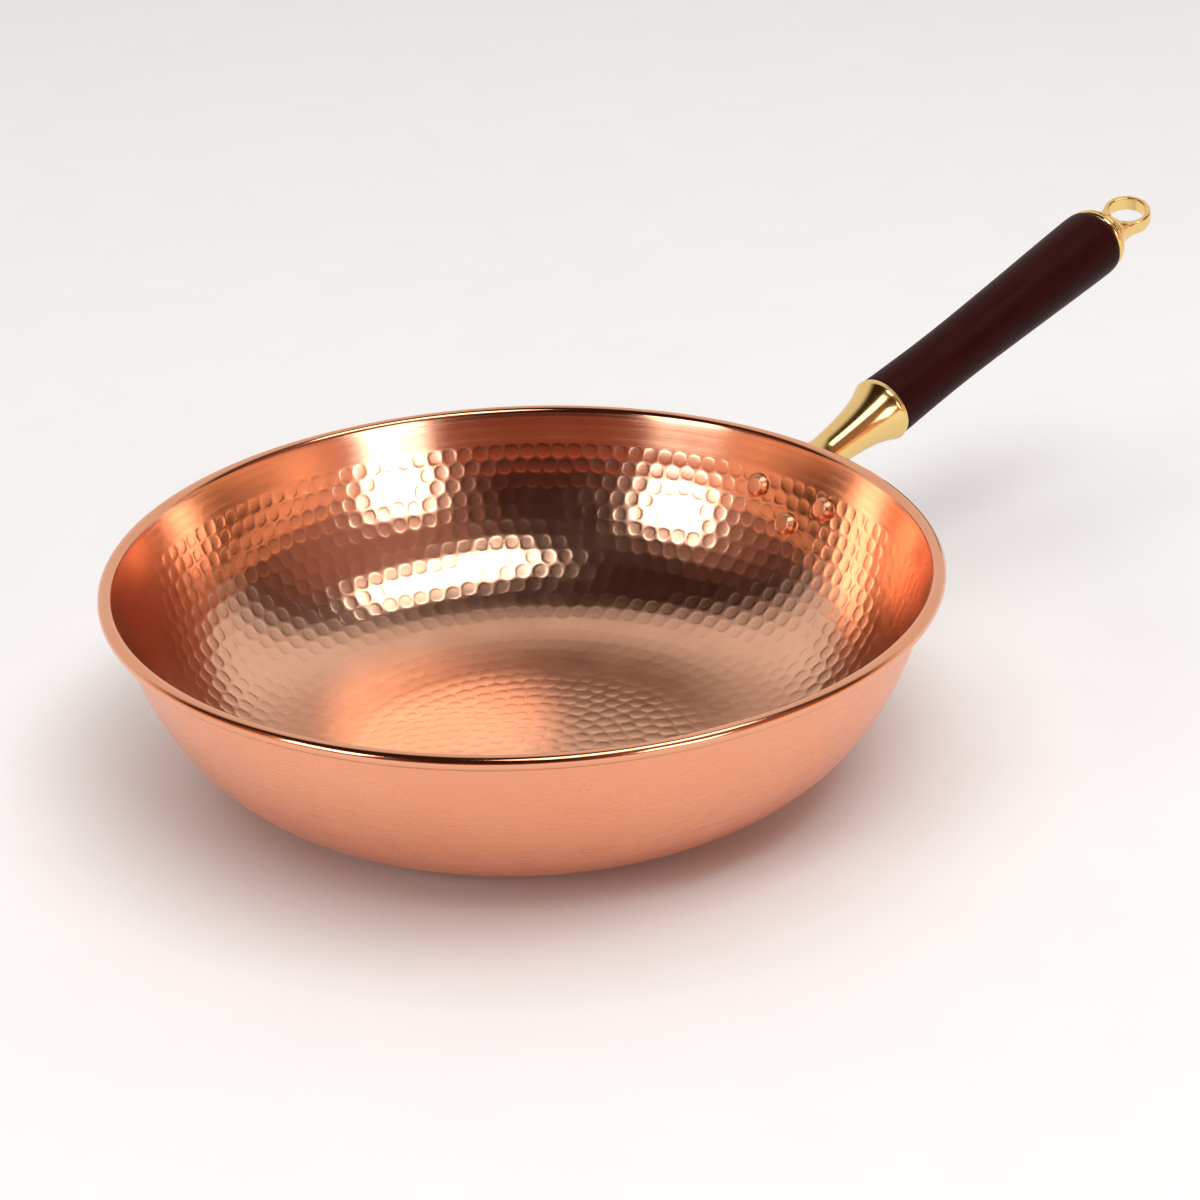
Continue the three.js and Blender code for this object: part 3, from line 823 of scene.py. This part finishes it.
def make_bracket():
    """One casting: a foot that narrows to the neck, a trumpet that opens to the bell, and the
    riveted plate."""
    neck = (NECK_RADIUS, NECK_AT)
    shoulder = np.array([SHOULDER_RADIUS, SHOULDER_AT])
    bell_pull = BELL_EASE * np.array([math.sin(BELL_SLOPE), math.cos(BELL_SLOPE)])
    turn_over = (SHOULDER_RADIUS + SHOULDER_ROUND * math.tan(BELL_SLOPE), SHOULDER_AT + SHOULDER_ROUND)
    rod_hole = ROD_RADIUS + FIT
    profile = np.concatenate([
        [(0, -ROOT_SINK)],
        bezier([(ROOT_RADIUS, -ROOT_SINK), (ROOT_RADIUS, -ROOT_EASE), (NECK_RADIUS, 0), neck], steps=24),
        bezier([neck, (FLARE_RADIUS, FLARE_AT), shoulder - bell_pull, shoulder], steps=40)[1:],
        bezier([shoulder, turn_over, (LIP_RADIUS, LIP_AT - LIP_LENGTH)], steps=12)[1:],
        eased(
            [(LIP_RADIUS, LIP_AT - LIP_LENGTH / 2), (LIP_RADIUS, LIP_AT), (TENON_RADIUS + FIT, LIP_AT),
             (TENON_RADIUS + FIT, SOCKET_END), (rod_hole, SOCKET_END), (rod_hole, ROD_START - SEAT),
             (0, ROD_START - SEAT)],
            [0, LIP_EASE, SOCKET_EASE, 0, 0, 0, 0],
        ),
    ])
    bracket = shape("brass_bracket", *turned_on_handle(profile, sides=96))
    clear = BEAD_RADIUS + SEAT
    meet = math.pi / 2 + RIM_SLOPE + math.acos((CURL_RADIUS - SEAT) / clear)
    under = wall + SEAT * wall_normal
    under = under[under[:, 1] < bead_centre[1] + clear * math.sin(meet)][::ROOM_SKIP]
    meet_turn = meet - 2 * math.pi if meet > math.pi else meet
    over = arc(bead_centre, clear, meet_turn, 0, steps=24)
    room_top = RIM_HEIGHT + ROOT_RADIUS
    bowl_room = np.concatenate([[(0, -SEAT)], under, over, [(RIM_RADIUS + SEAT, room_top), (0, room_top)]])
    carve(bracket, shape("bowl_room", *turned(bowl_room, sides=160)), "DIFFERENCE")
    carve(bracket, shape("plate", *plate_mesh()), "UNION")
    finish_piece(bracket, "pan", [POLISHED_BRASS], ["handle_bracket"], sharp=35)


def make_grip():
    bore = ROD_RADIUS + FIT
    swell = spline([
        (LIP_RADIUS, GRIP_START), (GRIP_WAIST, GRIP_START + GRIP_WAIST_AT),
        (GRIP_SWELL, GRIP_END - GRIP_SWELL_BACK), (GRIP_SHOULDER, GRIP_END - GRIP_END_ROUND),
    ], steps=24)
    front = eased(
        [(bore, TENON_END), (TENON_RADIUS, TENON_END), (TENON_RADIUS, GRIP_START),
         (LIP_RADIUS, GRIP_START), swell[1]],
        [0, TENON_EASE, 0, LIP_EASE, 0],
    )
    end = bezier(
        [(GRIP_SHOULDER, GRIP_END - GRIP_END_ROUND), (GRIP_SHOULDER, GRIP_END), (GRIP_END_RADIUS, GRIP_END)],
        steps=14,
    )
    profile = np.concatenate([front[:-1], swell[1:-1], end, [(bore, GRIP_END)]])
    grip = shape("hardwood_grip", *turned_on_handle(profile, sides=96, closed=True))
    finish_piece(grip, "pan", [LACQUERED_HARDWOOD], ["grip"])


def make_rod():
    """A rod with a rolled thread at each end, which shows when the cap is backed off."""
    columns = 32
    turn = np.arange(columns) / columns
    angle = 2 * np.pi * turn
    step = THREAD_PITCH / THREAD_STEPS
    threads = [
        np.arange(ROD_START, ROD_START + THREAD_LENGTH, step),
        np.arange(ROD_END - THREAD_LENGTH, ROD_END, step),
    ]
    stations = np.concatenate([*threads, [ROD_END]])
    points = []
    for station in stations:
        phase = (station / THREAD_PITCH - turn) % 1
        groove = THREAD_DEPTH * np.clip(THREAD_FLANK * np.abs(2 * phase - 1) - THREAD_CREST, 0, 1)
        end_gap = min(station - ROD_START, ROD_END - station)
        radius = ROD_RADIUS - np.maximum(groove, max(0.0, ROD_CHAMFER - end_gap))
        ring = [np.full(columns, station), radius * np.cos(angle), radius * np.sin(angle)]
        points.append(np.stack(ring, axis=1))
    for station, row in ((ROD_START, 0), (ROD_END, len(points))):
        points.insert(row, np.tile([station, 0, 0], (columns, 1)))
    rod = shape("steel_tie_rod", on_handle(np.concatenate(points)), grid_faces(len(points), columns))
    finish_piece(rod, "pan", [BRIGHT_STEEL], ["tie_rod"])


def make_collar():
    edge = COLLAR_LENGTH / 2
    bore = ROD_RADIUS + FIT
    bulge = arc((COLLAR_RADIUS - edge, COLLAR_START + edge), edge, -math.pi / 2, math.pi / 2, steps=16)
    profile = np.concatenate([[(bore, COLLAR_START)], bulge, [(bore, COLLAR_START + COLLAR_LENGTH)]])
    collar = shape("brass_end_collar", *turned_on_handle(profile, sides=96, closed=True))
    finish_piece(collar, "collar", [POLISHED_BRASS], ["end_collar"])


def prism(outline, half):
    """An outline drawn along and up from the handle's axis, carried through to both sides and turned
    with the cap."""
    count = len(outline)
    sides = [
        np.stack([outline[:, 0], np.full(count, side), outline[:, 1]], axis=1) for side in (-half, half)
    ]
    faces = [tuple(range(count)), tuple(range(2 * count - 1, count - 1, -1))]
    faces += [(i, (i + 1) % count, count + (i + 1) % count, count + i) for i in range(count)]
    return on_handle(np.concatenate(sides), CAP_TURN), faces


def make_cap():
    """Cast cap: a round foot drawn in to a waist, flattened into a ring. The casting's edges are soft."""
    eye = CAP_FOOT + EYE_AT
    join = EYE_JOIN * math.acos(CAP_WAIST / EYE_RADIUS)
    join_point = np.array([EYE_RADIUS * math.cos(join), eye - EYE_RADIUS * math.sin(join)])
    waist = CAP_FOOT + CAP_WAIST_AT
    halfway = (CAP_FOOT + waist) / 2
    swing = (CAP_WAIST, join_point[1] - (join_point[0] - CAP_WAIST) / math.tan(join))
    plan = np.concatenate([
        [(0, CAP_FOOT), (CAP_RADIUS, CAP_FOOT)],
        bezier([(CAP_RADIUS, CAP_FOOT + CAP_EDGE), (CAP_WAIST, halfway), (CAP_WAIST, waist)], steps=12),
        bezier([(CAP_WAIST, waist), swing, join_point], steps=10)[1:],
        arc((0, eye), EYE_RADIUS, -join, math.pi / 2, steps=24)[1:],
    ])
    cap = shape("brass_end_cap", *turned_on_handle(plan, sides=64))
    band = EYE_BAND / 2
    band_at = eye - EYE_HOLE
    tall = CAP_RADIUS + CAP_EDGE
    upper = np.concatenate([
        [(eye + EYE_RADIUS + CAP_EDGE, band)],
        bezier([(band_at, band), (band_at - band / 2, 1.5 * band), (halfway, CAP_WAIST),
                (CAP_FOOT + CAP_EDGE, tall)], steps=16),
        [(CAP_FOOT - CAP_EDGE, tall)],
    ])
    wedge = np.concatenate([upper, upper[::-1] * (1, -1)])
    carve(cap, shape("wedge", *prism(wedge, tall)), "INTERSECT")
    ring = turned([(0, -tall), (EYE_HOLE, -tall), (EYE_HOLE, tall), (0, tall)], sides=64)
    carve(cap, shape("eye", on_handle(ring[0] + (eye, 0, 0), CAP_TURN), ring[1]), "DIFFERENCE")
    grid = cap.modifiers.new("cast", "REMESH")
    grid.mode = "VOXEL"
    grid.voxel_size = CAST_GRID * MM
    soft = cap.modifiers.new("soft", "SMOOTH")
    soft.factor = CAST_SOFTENING
    soft.iterations = CAST_ROUNDS
    bake_modifiers(cap)
    rod_hole = ROD_RADIUS + FIT
    mouth, bottom = CAP_FOOT - CAP_EDGE, ROD_END + SEAT
    bore = [(0, mouth), (rod_hole, mouth), (rod_hole, bottom), (0, bottom)]
    carve(cap, shape("bore", *turned_on_handle(bore, sides=48)), "DIFFERENCE")
    finish_piece(cap, "cap", [POLISHED_BRASS], ["end_cap"], sharp=60)


# Copper sheet hammered inside and polished over the marks: warm, bright, each mark with its own glint
HAMMERED_COPPER = metal(
    "hammered_polished_copper", "#f3c0a2", "#edb492", 0.18, line=1.2, relief=0.002, floor_roughness=0.33,
)
# The same sheet brushed round above the marks, which draws highlights into streaks up the wall
BRUSHED_COPPER = metal("brushed_copper", "#f4c1a3", "#edb491", 0.2, spun=0.6, line=0.8)
# Rolled over the wire and burnished by the roller: a thin bright line round the rim
BURNISHED_COPPER = metal("burnished_copper", "#f0b08c", "#e8a27c", 0.12, line=1.5, relief=0.002)
# Spun on a lathe and left satin outside
SPUN_COPPER = metal("spun_satin_copper", "#f6ae8a", "#f1a57f", 0.3, spun=0.5, line=0.45)
# Soft copper rivets, bright from the setting tool
RIVET_COPPER = metal("set_rivet_copper", "#f2b893", "#eba982", 0.34, line=0.9, relief=0.003)
# Cast brass, turned and buffed: deep clear reflections with a little haze
POLISHED_BRASS = metal("cast_polished_brass", "#f4d592", "#edc87a", 0.16, line=1.4, relief=0.002)
# Drawn steel, bright from the die
BRIGHT_STEEL = metal("drawn_bright_steel", "#b9b9b6", "#a3a3a0", 0.3, line=0.5)
LACQUERED_HARDWOOD = lacquered_hardwood()

make_bowl()
make_rivets()
make_bracket()
make_grip()
make_rod()
make_collar()
make_cap()
wire = frame["nodes"]["rim_wire"]
wire.data.materials.clear()
wire.data.materials.append(BRIGHT_STEEL)

# Floor, light and camera

FLOOR_SIDE = 4.4
VIEW_HEADING = math.radians(47.34)  # of the camera's aim, from +X towards +Y
VIEW_PITCH = math.radians(25.228)  # below level
VIEW_ROLL = math.radians(-1.7745)
CAMERA_AT = (-0.72634, -0.83112, 0.58401)
LENS = 96
SENSOR = 36

scene = bpy.context.scene
scene.view_settings.view_transform = "Standard"

floor_mesh = bpy.data.meshes.new("floor")
half = FLOOR_SIDE / 2
floor_corners = [(-half, -half, 0), (half, -half, 0), (half, half, 0), (-half, half, 0)]
floor_mesh.from_pydata(floor_corners, [], [(0, 1, 2, 3)])
floor_mesh.materials.append(pale_floor())
floor = bpy.data.objects.new("floor", floor_mesh)
scene.collection.objects.link(floor)

aim = np.array([math.cos(VIEW_HEADING), math.sin(VIEW_HEADING), 0.0])
sideways = np.array([aim[1], -aim[0], 0.0])
above = np.array([0.0, 0.0, 1.0])


def way_to(bearing, elevation):
    """Direction from the wok, with the bearing from the camera's side and positive to its right."""
    bearing, elevation = math.radians(bearing), math.radians(elevation)
    level = -math.cos(bearing) * aim + math.sin(bearing) * sideways
    return math.cos(elevation) * level + math.sin(elevation) * above


# Soft glow of the room round the softboxes: bearing, elevation, spread in degrees and colour
HALOES = (
    (56, 26, 44, (0.3, 0.15, 0.12, 1.0)),
    (-64, 20, 32, (0.2, 0.1, 0.08, 1.0)),
)

# A pale backdrop on the far side, and a dim warm near side, where the metal's dark lines come from.
# The camera sees the backdrop on every side, and the metal sees it on the far side only.
BACKDROP = (0.85, 0.8, 0.77, 1.0)
NEAR_HIGH = (0.032, 0.013, 0.011, 1.0)
NEAR_LOW = (0.33, 0.078, 0.038, 1.0)
NEAR_SIDE = (0.88, 0.42, 0.23, 1.0)
world = bpy.data.worlds.new("studio")
scene.world = world
world.use_nodes = True
sky = world.node_tree
sky.nodes.clear()
direction = add_node(sky, "ShaderNodeTexCoord").outputs["Generated"]
towards = add_node(sky, "ShaderNodeVectorMath", {1: tuple(aim)}, {0: direction}, operation="DOT_PRODUCT")
lit = add_node(
    sky, "ShaderNodeMapRange", {"From Min": 0.12, "From Max": 0.48},
    {"Value": towards.outputs["Value"]}, interpolation_type="SMOOTHSTEP",
)
climb = add_node(sky, "ShaderNodeSeparateXYZ", links={0: direction})
high = add_node(
    sky, "ShaderNodeMapRange", {"From Min": 0.17, "From Max": 0.28},
    {"Value": climb.outputs["Z"]}, interpolation_type="SMOOTHSTEP",
)
beside = add_node(
    sky, "ShaderNodeMapRange", {"From Min": -0.75, "From Max": -0.3},
    {"Value": towards.outputs["Value"]}, interpolation_type="SMOOTHSTEP",
)
low = add_node(
    sky, "ShaderNodeMix", {6: NEAR_LOW, 7: NEAR_SIDE}, {0: beside.outputs["Result"]}, data_type="RGBA",
)
near = add_node(
    sky, "ShaderNodeMix", {7: NEAR_HIGH}, {0: high.outputs["Result"], 6: low.outputs[2]},
    data_type="RGBA",
)
around = add_node(
    sky, "ShaderNodeMix", {7: BACKDROP}, {0: lit.outputs["Result"], 6: near.outputs[2]},
    data_type="RGBA",
)
for bearing, elevation, spread, colour in HALOES:
    facing = add_node(
        sky, "ShaderNodeVectorMath", {1: tuple(way_to(bearing, elevation))}, {0: direction},
        operation="DOT_PRODUCT",
    )
    halo = add_node(
        sky, "ShaderNodeMapRange", {"From Min": math.cos(math.radians(spread)), "From Max": 1.0},
        {"Value": facing.outputs["Value"]}, interpolation_type="SMOOTHSTEP",
    )
    around = add_node(
        sky, "ShaderNodeMix", {7: colour}, {0: halo.outputs["Result"], 6: around.outputs[2]},
        data_type="RGBA", blend_type="ADD",
    )
seen = add_node(sky, "ShaderNodeLightPath").outputs["Is Camera Ray"]
shown = add_node(
    sky, "ShaderNodeMix", {7: BACKDROP}, {0: seen, 6: around.outputs[2]}, data_type="RGBA",
)
glow = add_node(sky, "ShaderNodeBackground", links={"Color": shown.outputs[2]})
add_node(sky, "ShaderNodeOutputWorld", links={"Surface": glow.outputs[0]})

# Softboxes: bearing from the camera's side, positive to its right, then elevation, distance, width,
# height, lean to the right and radiance
SOFTBOXES = {
    "right_box": (40, 17.5, 3.0, 1.05, 0.95, 24, 4.6),
    "left_box": (-51.5, 25, 3.0, 1.12, 1.0, 0, 5.4),
    "top_box": (44, 66, 3.0, 2.5, 1.05, 0, 3.8),
    "fill_box": (0, 80, 5.0, 6.0, 6.0, 0, 1.95),
}
for name, (bearing, elevation, distance, width, height, lean, radiance) in SOFTBOXES.items():
    lamp = bpy.data.lights.new(name, "AREA")
    lamp.shape = "RECTANGLE"
    lamp.size = width
    lamp.size_y = height
    lamp.energy = radiance * math.pi * width * height
    lean = math.radians(lean)
    away = way_to(bearing, elevation)
    across = np.cross(above, away)
    across /= np.linalg.norm(across)
    upwards = np.cross(away, across)
    turn = Matrix(np.stack([
        math.cos(lean) * across - math.sin(lean) * upwards,
        math.cos(lean) * upwards + math.sin(lean) * across,
        away,
    ], axis=1).tolist())
    box = bpy.data.objects.new(name, lamp)
    box.matrix_world = Matrix.Translation(away * distance) @ turn.to_4x4()
    scene.collection.objects.link(box)

# The fill only evens out the floor and the wood; the metal does not show it.
bpy.data.objects["fill_box"].visible_glossy = False
bpy.data.objects["fill_box"].visible_camera = False

forward = math.cos(VIEW_PITCH) * aim - math.sin(VIEW_PITCH) * above
upright = np.cross(sideways, forward)
camera_x = math.cos(VIEW_ROLL) * sideways + math.sin(VIEW_ROLL) * upright
camera_y = -math.sin(VIEW_ROLL) * sideways + math.cos(VIEW_ROLL) * upright
camera = bpy.data.cameras.new("camera")
camera.lens = LENS
camera.sensor_width = SENSOR
stand = bpy.data.objects.new("camera", camera)
stand.matrix_world = Matrix.Translation(CAMERA_AT) @ Matrix(
    np.stack([camera_x, camera_y, -forward], axis=1).tolist()
).to_4x4()
scene.collection.objects.link(stand)
scene.camera = stand
